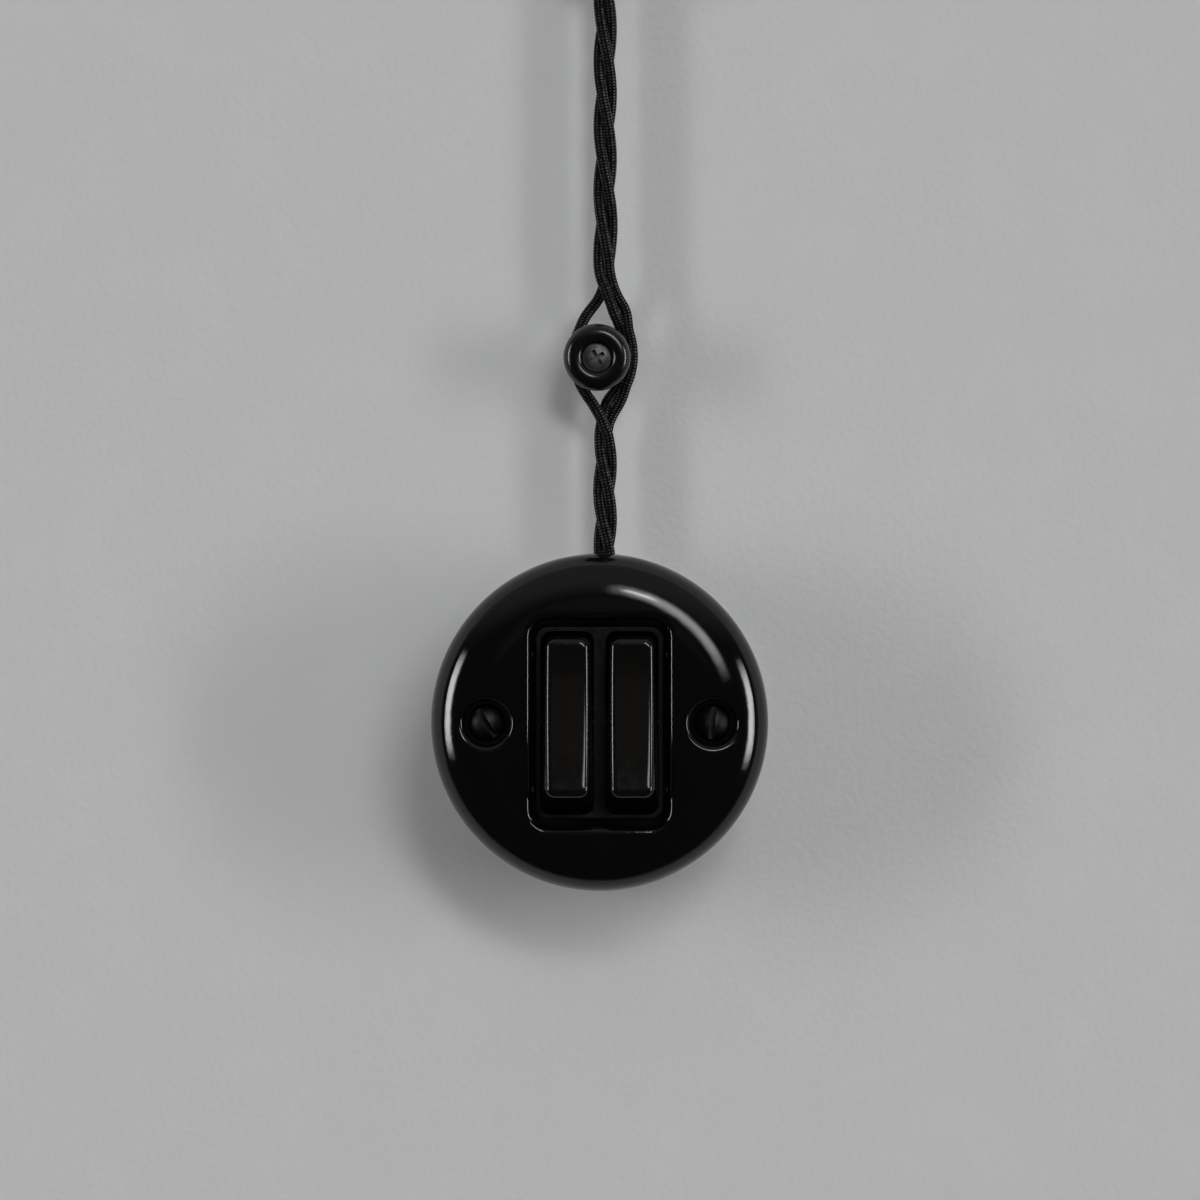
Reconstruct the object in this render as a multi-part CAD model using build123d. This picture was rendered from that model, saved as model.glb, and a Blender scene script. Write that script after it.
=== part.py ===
from build123d import *
import math

# Roller shutter switch for a wall, with its twisted cord and a knob insulator above it.
# Every piece is drawn with x to the right, y up the wall and z out of the wall, in millimetres.
# The save step turns it so that z is up and the front of the switch looks along -y.

# Porcelain body
BODY_R = 45.0
RIM_Z = 12.0
FIELD_RISE = 6.0
DOME_R = 420.0
FIELD_BEYOND = 1.0
SHOULDER_SLOPE = math.radians(36.0)
TURN_SHARE = 0.4515
COVER_WALL = 5.0
EDGE_R = 1.0
INNER_ARC_R = 7.0
COVER_SEAM_TURN = 90.0
SPIGOT_GAP = 0.4
SPIGOT_H = 3.0
SPIGOT_WALL = 3.6
FLOOR_Z = 5.0
BACK_RECESS_R = 38.0
BACK_RECESS_Z = 1.2
WALL_HOLE_X = 25.0
WALL_HOLE_R = 2.3
WALL_PAD_R = 7.0
HEAD_SEAT_R = 5.0
HEAD_SEAT_Z = 0.6

# Window in the cover
WINDOW_W = 35.9
WINDOW_H = 54.7
WINDOW_R = 4.6
WINDOW_LIP_R = 1.9
WINDOW_DRAFT = 2.0
COLLAR_WALL = 3.0
COLLAR_GAP = 2.0

# Cover screws and their wells
SCREW_OFFSET = 12.05
WELL_R = 6.0
WELL_DEPTH = 6.5
WELL_LIP_R = 1.8
WELL_TOL = 0.01
BOSS_R = 8.5
BOSS_FLOOR = 4.5
COVER_SHANK_R = 2.5
COVER_HOLE_R = 2.8
COVER_HEAD_R = 5.0
COVER_HEAD_RIM = 0.4
COVER_HEAD_DOME = 3.3
COVER_SHANK_L = 16.0
COVER_SLOT_W = 1.4
COVER_SLOT_D = 2.1
LEFT_SLOT_TURN = -57.0
RIGHT_SLOT_TURN = 83.0

# Support strap and its fixings
STRAP_T = 1.5
STRAP_IN_GAP = 0.2
STRAP_RING = 3.6
STRAP_CORNER_R = 3.0
EAR_END = 6.0
EAR_SIDE = 5.0
EAR_WALL_GAP = 1.5
EAR_CORNER_R = 4.0
THREAD_COLLAR_R = 4.0
THREAD_COLLAR_H = 3.0
PILLAR_X = 28.0
PILLAR_Y = 11.0
PILLAR_R = 5.0
INSERT_R = 3.0
INSERT_L = 9.0
INSERT_LIP_R = 3.4
INSERT_LIP_H = 1.0
STRAP_SHANK_R = 1.75
STRAP_SHANK_L = 8.5
STRAP_HEAD_R = 3.4
STRAP_HEAD_H = 2.2
STRAP_HEAD_EDGE = 0.7
STRAP_SLOT_W = 0.9
STRAP_SLOT_D = 1.0
STRAP_HOLE_R = 2.0

# Mechanism housing
HOUSING_SIDE = 0.2
HOUSING_END = 0.7
HOUSING_LIFT = 3.0
HOUSING_DEPTH = 14.0
HOUSING_CORNER_R = 1.5
HOUSING_FLOOR_T = 5.4
HOUSING_SKIN = 1.5
HOUSING_WALL = 2.0
FLANGE_SIDE = 3.4
FLANGE_END = 3.0
FLANGE_T = 1.5
MID_WALL = 2.0
MID_WALL_GAP = 1.2
MID_WALL_DROP = 2.0
POCKET_D = 3.4
BACK_COLUMNS = 4
RIB_T = 1.6
RIVET_OFFSET = 2.0
RIVET_Y = 18.0
RIVET_R = 1.1
RIVET_HEAD_R = 1.7
RIVET_HEAD_H = 0.7
RIVET_TAIL_H = 0.8

# Rocker frame
FRAME_SIDE_GAP = 0.75
FRAME_END_GAP = 1.65
FRAME_SIDE_WALL = 1.5
FRAME_END_WALL = 1.3
FRAME_R = 3.4
FRAME_T = 7.0
FRAME_EDGE_R = 0.5
ROCKER_SIDE_GAP = 0.3
ROCKER_END_GAP = 0.6
MARK_Y = 4.3
MARK_STEP = 1.3
MARK_W = 1.3
MARK_T = 0.35
MARK_H = 0.2
PEG_INSET = 0.75
PEG_W = 5.0
PEG_T = 0.9
PEG_L = 1.4
PEG_GAP = 0.1

# Rockers
PIVOT_LIFT = 3.0
ROCK_TILT = 8.0
ROCKER_CORNER_R = 2.9
FACE_SIDE = 0.85
FACE_END = 2.7
FACE_CORNER_R = 3.0
FACE_H = 12.0
FACE_SAG_R = 150.0
FACE_SAG = 0.8
FACE_EDGE_R = 2.2
ROCKER_WALL = 1.7
ROCKER_ROOF = 2.0
KEEL_GAP = 0.3
STEM_R = 3.2
STEM_END = 6.2
STEM_RIB_T = 1.2
BORE_TOP = 8.2
TRUNNION_R = 1.5
TRUNNION_L = 1.2
TRUNNION_FIT = 0.06

# Plungers and springs
PLUNGER_R = 2.0
PLUNGER_FIT = 0.08
PLUNGER_TOP = 3.0
PLUNGER_LIFT = 0.1
SPRING_WIRE_R = 0.28
SPRING_R = 1.6
SPRING_TURNS = 6

# Contacts and terminals
CONTACT_AIR = 0.086
CONTACT_TILT = 6.0
CONTACT_END = 1.4
CONTACT_T = 0.9
CONTACT_CORNER_R = 1.0
CONTACT_Y = 6.8
BUTTON_R = 1.5
BUTTON_H = 0.7
FIXED_BUTTON_H = 0.45
CHEEK_GAP = 0.15
CHEEK_T = 0.65
CHEEK_L = 3.0
CHEEK_H = 1.1
PLATE_T = 0.8
PLATE_W = 5.0
PLATE_GAP = 0.5
PLATE_WALL_GAP = 0.3
PLATE_HALF_L = 2.5
FULCRUM_HALF_Y = 2.4
FULCRUM_EDGE = 0.35
FULCRUM_FOOT = 1.2
FULCRUM_GAP = 0.06
LINK_PAD_GAP = 0.9
LINK_NOTCH_GAP = 0.25
BLOCK_X = 11.0
BLOCK_W = 5.5
BLOCK_L = 5.2
BLOCK_H = 7.0
BLOCK_GAP = 0.1
WIRE_LIFT = 0.1
WIRE_HOLE_R = 0.8
TERM_SHANK_R = 1.25
TERM_SHANK_L = 2.4
TERM_HEAD_R = 2.1
TERM_HEAD_H = 1.6
TERM_SLOT_W = 0.7
TERM_SLOT_D = 0.7
TERM_HEAD_EDGE = 0.4
TERM_SLOT_TURN = 66.0

# Cord
CORD_X = 1.5
CORD_Z = 7.0
CORD_R = 3.2
STRAND_R = 1.35
STRAND_RING_R = 1.75
STRAND_GAP = 0.04
STRAND_SPREAD = 0.5
LEFT_ANGLE = 240.0
INNER_ANGLE = 120.0
OUTER_ANGLE = 0.0
LEAD_R = 1.05
LEAD_STEP = 2.15
LEAD_BEND_R = 3.0
LEAD_LOW_Y = 32.5
LEAD_HIGH_Y = 28.5
LEAD_HOLE_GAP = 0.25
NOTCH_GAP = 0.5
NOTCH_END_Y = 33.0
CORD_END_Y = 36.2

# Knob insulator with its screw
KNOB_X = -0.7
KNOB_Y = 97.6
KNOB_FOOT_R = 8.2
KNOB_FOOT_Z = 3.0
KNOB_NECK_R = 4.6
KNOB_NECK_Z0 = 4.6
KNOB_NECK_Z1 = 9.4
KNOB_HEAD_R = 9.0
KNOB_LIP_Z = 11.2
KNOB_EDGE_R = 0.9
KNOB_CREST_R = 6.0
KNOB_CREST_Z = 18.0
KNOB_DISH_ARC_R = 2.4
KNOB_DISH_R = 4.15
KNOB_DISH_Z = 15.8
KNOB_BORE_R = 2.3
KNOB_SHANK_R = 2.0
KNOB_SCREW_R = 3.9
KNOB_SCREW_RIM = 0.3
KNOB_SCREW_DOME = 0.9
KNOB_SHANK_IN_WALL = 22.0
KNOB_TIP_L = 5.0
CROSS_W = 1.1
CROSS_L = 4.4
CROSS_D = 1.6
CROSS_TURN = 30.0
SPLIT_HALF = 19.0
SPLIT_BEND_R = 6.0
SPLIT_STRAIGHT = 3.0

# Wall entry bush that takes the far end of the cord
BUSH_Y = 212.0
BUSH_R = 12.0
BUSH_H = 15.0
BUSH_EDGE_R = 4.0
BUSH_BORE_R = 5.0
BUSH_CORD_GAP = 0.2
BUSH_ROOF = 3.5
BUSH_BEND_R = 4.0


def box(x0, x1, y0, y1, z0, z1):
    return Pos((x0 + x1) / 2, (y0 + y1) / 2, (z0 + z1) / 2) * Box(x1 - x0, y1 - y0, z1 - z0)


def rod(x, y, z0, z1, r):
    return Pos(x, y, (z0 + z1) / 2) * Cylinder(r, z1 - z0)


def slab(x, y, width, height, corner, z0, z1):
    return extrude(Pos(x, y, z0) * RectangleRounded(width, height, corner), z1 - z0)


def cross_rod(x0, x1, y, z, r):
    return Pos((x0 + x1) / 2, y, z) * Rot(0, 90, 0) * Cylinder(r, x1 - x0)


def up_rod(x, y0, y1, z, r):
    return Pos(x, (y0 + y1) / 2, z) * Rot(90, 0, 0) * Cylinder(r, y1 - y0)


def spin(edges):
    return revolve(make_face(Rot(90, 0, 0) * Wire(edges)), Axis.Z)


def on_arc(centre, r, angle):
    return (centre[0] + r * math.sin(angle), centre[1] + r * math.cos(angle))


def tube(points, bend, r):
    route = FilletPolyline(*points, radius=bend)
    return sweep(Plane(route @ 0, z_dir=route % 0) * Circle(r), path=route)


def dome(r, z, rise):
    ball_r = (r ** 2 + rise ** 2) / (2 * rise)
    half = on_arc((0, z + rise - ball_r), ball_r, math.asin(r / ball_r) / 2)
    return ThreePointArc((0, z + rise), half, (r, z)).edges()


def screw_head(r, height, edge, slot_w, slot_d):
    head = fillet(rod(0, 0, 0, height, r).edges().group_by(Axis.Z)[-1], edge)
    return head - box(-r, r, -slot_w / 2, slot_w / 2, height - slot_d, height)


def on_well(point, side):
    return abs(math.hypot(point.X - side * screw_x, point.Y) - WELL_R) < WELL_TOL


def save(name, shape):
    export_step(Rot(90, 0, 0) * shape, "parts/" + name + ".step")


# Levels, from the wall outwards
housing_back = FLOOR_Z + HOUSING_LIFT
housing_floor = housing_back + HOUSING_FLOOR_T
strap_z = housing_back + HOUSING_DEPTH
strap_front = strap_z + STRAP_T
housing_front = strap_front + FLANGE_T
pivot_z = housing_front + PIVOT_LIFT
frame_z = housing_front + FRAME_T
field_z = frame_z + FIELD_RISE
well_z = field_z - WELL_DEPTH
boss_z = well_z - BOSS_FLOOR
collar_z = housing_front + COLLAR_GAP
spigot_top = RIM_Z + SPIGOT_H

# Widths and heights, from the window inwards
frame_w = WINDOW_W - 2 * FRAME_SIDE_GAP
frame_h = WINDOW_H - 2 * FRAME_END_GAP
rocker_x = frame_w / 4
rocker_w = frame_w / 2 - 2 * (FRAME_SIDE_WALL + ROCKER_SIDE_GAP)
rocker_l = frame_h - 2 * (FRAME_END_WALL + ROCKER_END_GAP)
housing_w = frame_w + 2 * HOUSING_SIDE
housing_h = frame_h - 2 * HOUSING_END
rivet_x = housing_w / 2 + RIVET_OFFSET
screw_x = WINDOW_W / 2 + SCREW_OFFSET

# Outline of the cover: a shallow dome, a wide shoulder arc and a tight arc down to the straight side
field_r = screw_x + FIELD_BEYOND
dome_slope = math.asin(field_r / DOME_R)
dome_c = (0, field_z - DOME_R)
dome_half = on_arc(dome_c, DOME_R, dome_slope / 2)
field_edge = on_arc(dome_c, DOME_R, dome_slope)
slope_sin = math.sin(SHOULDER_SLOPE)
shoulder_r = (BODY_R - field_r) / (slope_sin - math.sin(dome_slope) + TURN_SHARE * (1 - slope_sin))
arc_c = on_arc(field_edge, -shoulder_r, dome_slope)
shoulder_half = on_arc(arc_c, shoulder_r, (dome_slope + SHOULDER_SLOPE) / 2)
shoulder_end = on_arc(arc_c, shoulder_r, SHOULDER_SLOPE)
turn_r = TURN_SHARE * shoulder_r
turn_c = on_arc(shoulder_end, -turn_r, SHOULDER_SLOPE)
turn_half = on_arc(turn_c, turn_r, (SHOULDER_SLOPE + math.pi / 2) / 2)
turn_end = (BODY_R, turn_c[1])
inner_r = BODY_R - COVER_WALL
inner_z = field_z - COVER_WALL
inner_c = (inner_r - INNER_ARC_R, inner_z - INNER_ARC_R)
inner_half = on_arc(inner_c, INNER_ARC_R, math.pi / 4)
cover_line = [
    ThreePointArc((0, field_z), dome_half, field_edge),
    ThreePointArc(field_edge, shoulder_half, shoulder_end),
    ThreePointArc(shoulder_end, turn_half, turn_end),
    Line(turn_end, (BODY_R, RIM_Z)),
    Line((BODY_R, RIM_Z), (inner_r, RIM_Z)),
    Line((inner_r, RIM_Z), (inner_r, inner_c[1])),
    ThreePointArc((inner_r, inner_c[1]), inner_half, (inner_c[0], inner_z)),
    Line((inner_c[0], inner_z), (0, inner_z)),
    Line((0, inner_z), (0, field_z)),
]
cover = Rot(0, 0, COVER_SEAM_TURN) * spin([edge for line in cover_line for edge in line.edges()])
rim_edges = cover.edges().filter_by(GeomType.CIRCLE).group_by(Axis.Z)[0]
cover = fillet(rim_edges.sort_by(lambda e: e.radius)[-1:], EDGE_R)
collar_w = WINDOW_W + 2 * COLLAR_WALL
collar_h = WINDOW_H + 2 * COLLAR_WALL
cover += slab(0, 0, collar_w, collar_h, WINDOW_R + COLLAR_WALL, collar_z, inner_z + EDGE_R)
for side in (-1, 1):
    cover += rod(side * screw_x, 0, boss_z, inner_z + EDGE_R, BOSS_R)
window_sketch = Pos(0, 0, collar_z) * RectangleRounded(WINDOW_W, WINDOW_H, WINDOW_R)
cover -= extrude(window_sketch, field_z - collar_z + EDGE_R, taper=-WINDOW_DRAFT)
for side in (-1, 1):
    cover -= rod(side * screw_x, 0, well_z, field_z, WELL_R)
    cover -= rod(side * screw_x, 0, boss_z, well_z, COVER_HOLE_R)
front_edges = cover.edges().filter_by(lambda e: e.bounding_box().min.Z > inner_z)
well_edges = ShapeList()
for side in (-1, 1):
    well_edges += front_edges.filter_by(lambda e: on_well(e @ 0, side) and on_well(e @ 1, side))
cover = fillet(well_edges, WELL_LIP_R)
front_edges = cover.edges().filter_by(lambda e: e.bounding_box().min.Z > inner_z + EDGE_R)
window_edges = front_edges.filter_by_position(Axis.X, -WINDOW_W / 2 - EDGE_R, WINDOW_W / 2 + EDGE_R)
window_edges = window_edges.filter_by_position(Axis.Y, -WINDOW_H / 2 - EDGE_R, WINDOW_H / 2 + EDGE_R)
cover = fillet(window_edges, WINDOW_LIP_R)
save("cover", cover)

# Porcelain base with a spigot for the cover, pillars for the strap and a notch for the cord
spigot_r = inner_r - SPIGOT_GAP
cavity_r = spigot_r - SPIGOT_WALL
base = Cylinder(BODY_R, RIM_Z, align=(Align.CENTER, Align.CENTER, Align.MIN))
base = fillet(base.edges().filter_by(GeomType.CIRCLE), EDGE_R)
base += rod(0, 0, RIM_Z - EDGE_R, spigot_top, spigot_r)
base -= rod(0, 0, FLOOR_Z, spigot_top, cavity_r)
back_recess = rod(0, 0, 0, BACK_RECESS_Z, BACK_RECESS_R)
for side in (-1, 1):
    back_recess -= rod(side * WALL_HOLE_X, 0, 0, BACK_RECESS_Z, WALL_PAD_R)
base -= back_recess
notch_r = CORD_R + NOTCH_GAP
notch = up_rod(CORD_X, NOTCH_END_Y, BODY_R + EDGE_R, CORD_Z, notch_r)
notch += box(CORD_X - notch_r, CORD_X + notch_r, NOTCH_END_Y, BODY_R + EDGE_R, CORD_Z, spigot_top)
base -= notch
for side in (-1, 1):
    base -= rod(side * WALL_HOLE_X, 0, 0, FLOOR_Z, WALL_HOLE_R)
    base -= rod(side * WALL_HOLE_X, 0, FLOOR_Z - HEAD_SEAT_Z, FLOOR_Z, HEAD_SEAT_R)
    base += rod(side * PILLAR_X, side * PILLAR_Y, FLOOR_Z, strap_z, PILLAR_R)
    base -= rod(side * PILLAR_X, side * PILLAR_Y, strap_z - INSERT_L, strap_z, INSERT_R)
    base -= rod(side * PILLAR_X, side * PILLAR_Y, strap_z - INSERT_LIP_H, strap_z, INSERT_LIP_R)
save("base", base)

# Threaded inserts in the pillars
inserts = []
for side in (-1, 1):
    insert = rod(side * PILLAR_X, side * PILLAR_Y, strap_z - INSERT_L, strap_z, INSERT_R)
    insert += rod(side * PILLAR_X, side * PILLAR_Y, strap_z - INSERT_LIP_H, strap_z, INSERT_LIP_R)
    inserts.append(insert - rod(side * PILLAR_X, side * PILLAR_Y, strap_z - INSERT_L, strap_z, STRAP_SHANK_R))
save("base_inserts", Compound(inserts))

# Support strap that carries the mechanism and takes the cover screws
strap_in_w = housing_w + 2 * STRAP_IN_GAP
strap_in_h = housing_h + 2 * STRAP_IN_GAP
ring_w = strap_in_w + 2 * STRAP_RING
ring_h = strap_in_h + 2 * STRAP_RING
ears_w = 2 * (screw_x + EAR_END)
ears_h = 2 * (PILLAR_Y + EAR_SIDE)
strap = slab(0, 0, ears_w, ears_h, EAR_CORNER_R, strap_z, strap_front)
strap &= rod(0, 0, strap_z, strap_front, inner_r - EAR_WALL_GAP)
strap += slab(0, 0, ring_w, ring_h, STRAP_CORNER_R, strap_z, strap_front)
strap -= slab(0, 0, strap_in_w, strap_in_h, HOUSING_CORNER_R, strap_z, strap_front)
for side in (-1, 1):
    strap += rod(side * screw_x, 0, strap_z - THREAD_COLLAR_H, strap_z, THREAD_COLLAR_R)
    strap -= rod(side * screw_x, 0, strap_z - THREAD_COLLAR_H, strap_front, COVER_SHANK_R)
    strap -= rod(side * PILLAR_X, side * PILLAR_Y, strap_z, strap_front, STRAP_HOLE_R)
    for end in (-1, 1):
        strap -= rod(side * rivet_x, end * RIVET_Y, strap_z, strap_front, RIVET_R)
save("support_strap", strap)

# Slotted screws, round-headed on the cover and flat on the strap
half_slot = COVER_SLOT_W / 2
head_top = COVER_HEAD_RIM + COVER_HEAD_DOME
head_line = [(COVER_HEAD_R, COVER_HEAD_RIM), (COVER_HEAD_R, 0), (0, 0), (0, head_top)]
cover_screws = []
for side, turn in ((-1, LEFT_SLOT_TURN), (1, RIGHT_SLOT_TURN)):
    screw = spin(dome(COVER_HEAD_R, COVER_HEAD_RIM, COVER_HEAD_DOME) + Polyline(*head_line).edges())
    screw -= box(-COVER_HEAD_R, COVER_HEAD_R, -half_slot, half_slot, head_top - COVER_SLOT_D, head_top)
    screw += rod(0, 0, -COVER_SHANK_L, 0, COVER_SHANK_R)
    cover_screws.append(Pos(side * screw_x, 0, well_z) * Rot(0, 0, turn) * screw)
save("cover_screws", Compound(cover_screws))
strap_screws = []
for side, turn in ((-1, LEFT_SLOT_TURN), (1, RIGHT_SLOT_TURN)):
    screw = screw_head(STRAP_HEAD_R, STRAP_HEAD_H, STRAP_HEAD_EDGE, STRAP_SLOT_W, STRAP_SLOT_D)
    screw += rod(0, 0, -STRAP_SHANK_L, 0, STRAP_SHANK_R)
    strap_screws.append(Pos(side * PILLAR_X, side * PILLAR_Y, strap_front) * Rot(0, 0, turn) * screw)
save("strap_screws", Compound(strap_screws))

# Mechanism housing: a moulded box with a flange, a middle wall and pockets for the terminals
half_w = housing_w / 2
half_h = housing_h / 2
cave_w = housing_w - 2 * HOUSING_WALL
cave_h = housing_h - 2 * HOUSING_WALL
cave_top = half_h - HOUSING_WALL
flange_w = housing_w + 2 * FLANGE_SIDE
flange_h = housing_h + 2 * FLANGE_END
plate_top = housing_floor + PLATE_T
rest_pad_z = plate_top + FIXED_BUTTON_H
housing = slab(0, 0, housing_w, housing_h, HOUSING_CORNER_R, housing_back, strap_front)
housing += slab(0, 0, flange_w, flange_h, STRAP_CORNER_R, strap_front, housing_front)
housing -= slab(0, 0, cave_w, cave_h, HOUSING_CORNER_R, housing_floor, housing_front)
block_y0 = cave_top - BLOCK_L
mid_x = MID_WALL / 2
mid_top = housing_front - MID_WALL_DROP
housing += box(-mid_x, mid_x, -cave_top, block_y0 - MID_WALL_GAP, housing_floor, mid_top)
link_y0 = -CONTACT_Y - PLATE_HALF_L
link_y1 = -CONTACT_Y + PLATE_HALF_L
notch_top = plate_top + LINK_NOTCH_GAP
housing -= box(-mid_x, mid_x, link_y0 - LINK_NOTCH_GAP, link_y1 + LINK_NOTCH_GAP, housing_floor, notch_top)
pad_x0 = rocker_x - PLATE_W / 2
pad_x1 = rocker_x + PLATE_W / 2
housing += box(pad_x0, pad_x1, -CONTACT_Y - BUTTON_R, -CONTACT_Y + BUTTON_R, housing_floor, rest_pad_z)
lead_hole_r = LEAD_R + LEAD_HOLE_GAP
pocket_z = housing_floor - POCKET_D
pocket_half = BLOCK_W / 2 + BLOCK_GAP
wire_z = housing_floor + WIRE_LIFT
for x in (-BLOCK_X, 0, BLOCK_X):
    housing -= box(x - pocket_half, x + pocket_half, block_y0 - BLOCK_GAP, cave_top, pocket_z, housing_floor)
    housing -= up_rod(x, cave_top, half_h, wire_z, lead_hole_r)
back_cell_w = (cave_w - (BACK_COLUMNS - 1) * RIB_T) / BACK_COLUMNS
cell_top = housing_floor - HOUSING_SKIN
for column in range(BACK_COLUMNS):
    cell_x0 = -half_w + HOUSING_WALL + column * (back_cell_w + RIB_T)
    for cell_y0, cell_y1 in ((-cave_top, -RIB_T / 2), (RIB_T / 2, block_y0 - HOUSING_SKIN)):
        housing -= box(cell_x0, cell_x0 + back_cell_w, cell_y0, cell_y1, housing_back, cell_top)
for side in (-1, 1):
    for end in (-1, 1):
        housing -= rod(side * rivet_x, end * RIVET_Y, strap_front, housing_front, RIVET_R)
    peg_y = side * (frame_h / 2 - PEG_INSET)
    slot_x = PEG_W / 2 + PEG_GAP
    slot_y = PEG_T / 2 + PEG_GAP
    housing -= box(-slot_x, slot_x, peg_y - slot_y, peg_y + slot_y, strap_front, housing_front)
save("housing", housing)

# Rivets that hold the housing to the strap
rivets = []
for side in (-1, 1):
    for end in (-1, 1):
        rivet = rod(0, 0, strap_z, housing_front, RIVET_R)
        rivet += rod(0, 0, housing_front, housing_front + RIVET_HEAD_H, RIVET_HEAD_R)
        rivet += rod(0, 0, strap_z - RIVET_TAIL_H, strap_z, RIVET_HEAD_R)
        rivets.append(Pos(side * rivet_x, end * RIVET_Y, 0) * rivet)
save("housing_rivets", Compound(rivets))

# Rocker frame with two openings, bearing slots for the rockers and pegs into the housing
opening_w = rocker_w + 2 * ROCKER_SIDE_GAP
opening_h = rocker_l + 2 * ROCKER_END_GAP
frame = slab(0, 0, frame_w, frame_h, FRAME_R, housing_front, frame_z)
frame = fillet(frame.edges().group_by(Axis.Z)[-1], FRAME_EDGE_R)
for side in (-1, 1):
    frame -= slab(side * rocker_x, 0, opening_w, opening_h, ROCKER_CORNER_R, housing_front, frame_z)
bearing_r = TRUNNION_R + TRUNNION_FIT
for side in (-1, 1):
    for hand in (-1, 1):
        start = side * rocker_x + hand * rocker_w / 2
        end = start + hand * (TRUNNION_L + ROCKER_SIDE_GAP / 2)
        x0 = min(start, end)
        x1 = max(start, end)
        frame -= cross_rod(x0, x1, 0, pivot_z, bearing_r)
        frame -= box(x0, x1, -bearing_r, bearing_r, housing_front, pivot_z)
    peg_y = side * (frame_h / 2 - PEG_INSET)
    frame += Pos(0, peg_y, housing_front - PEG_L / 2) * Box(PEG_W, PEG_T, PEG_L)
for step in (-1, 1):
    mark_y = MARK_Y + step * MARK_STEP / 2
    frame += box(-MARK_W / 2, MARK_W / 2, mark_y - MARK_T / 2, mark_y + MARK_T / 2, frame_z, frame_z + MARK_H)
save("rocker_frame", frame)

# One rocker about its pivot, level, with the keel cut back on both sides so that it can tilt
skirt_h = frame_z - pivot_z
keel_h = PIVOT_LIFT - KEEL_GAP
face_top = FACE_H + FACE_EDGE_R
grow = (face_top - skirt_h) / (FACE_H - skirt_h)
face_w = rocker_w - 2 * FACE_SIDE
face_l = rocker_l - 2 * FACE_END
skirt_sketch = Pos(0, 0, skirt_h) * RectangleRounded(rocker_w, rocker_l, ROCKER_CORNER_R)
top_sketch = RectangleRounded(rocker_w - 2 * FACE_SIDE * grow, rocker_l - 2 * FACE_END * grow, FACE_CORNER_R)
rocker = loft([skirt_sketch, Pos(0, 0, face_top) * top_sketch], ruled=True)
face_mid = FACE_H - FACE_SAG
rocker -= Pos(0, 0, face_mid + FACE_SAG_R) * Rot(0, 90, 0) * Cylinder(FACE_SAG_R, 2 * rocker_w)
rocker = fillet(rocker.faces().sort_by(Axis.Z)[-1].edges(), FACE_EDGE_R)
rocker += slab(0, 0, rocker_w, rocker_l, ROCKER_CORNER_R, -keel_h, skirt_h)
roof_h = face_mid - ROCKER_ROOF
hollow_low = Pos(0, 0, -keel_h) * Rectangle(rocker_w - 2 * ROCKER_WALL, rocker_l - 2 * ROCKER_WALL)
hollow_top = Pos(0, 0, roof_h) * Rectangle(face_w - 2 * ROCKER_WALL, face_l - 2 * ROCKER_WALL)
rocker -= loft([hollow_low, hollow_top], ruled=True)
rib_x = (rocker_w - ROCKER_WALL) / 2
rocker += box(-rib_x, rib_x, -STEM_RIB_T / 2, STEM_RIB_T / 2, -keel_h, skirt_h)
keel_rise = math.tan(math.radians(ROCK_TILT)) * rocker_l / 2
for end in (-1, 1):
    keel_line = [(0, -keel_h), (end * rocker_l / 2, keel_rise - keel_h), (end * rocker_l / 2, -keel_h)]
    rocker -= extrude(make_face(Plane.YZ * Polyline(*keel_line, close=True)), rocker_w, both=True)
rocker += rod(0, 0, -STEM_END, roof_h, STEM_R)
rocker -= rod(0, 0, -STEM_END, BORE_TOP, PLUNGER_R + PLUNGER_FIT)
rocker += cross_rod(rocker_w / 2, rocker_w / 2 + TRUNNION_L, 0, 0, TRUNNION_R)
rocker += cross_rod(-rocker_w / 2 - TRUNNION_L, -rocker_w / 2, 0, 0, TRUNNION_R)

# Plunger and spring in the stem of each rocker
contact_drop = (CONTACT_Y + BUTTON_R) * math.sin(math.radians(CONTACT_TILT))
button_drop = BUTTON_H * math.cos(math.radians(CONTACT_TILT))
contact_pivot_z = rest_pad_z + CONTACT_AIR + button_drop + contact_drop
tip = pivot_z - contact_pivot_z - CONTACT_T - PLUNGER_LIFT
plunger = rod(0, 0, PLUNGER_R - tip, -PLUNGER_TOP, PLUNGER_R) + Pos(0, 0, PLUNGER_R - tip) * Sphere(PLUNGER_R)
spring_low = SPRING_WIRE_R - PLUNGER_TOP
spring_l = BORE_TOP + PLUNGER_TOP - 2 * SPRING_WIRE_R
coil = Pos(0, 0, spring_low) * Helix(spring_l / SPRING_TURNS, spring_l, SPRING_R)
spring = sweep(Plane(coil @ 0, z_dir=coil % 0) * Circle(SPRING_WIRE_R), path=coil)

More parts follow.
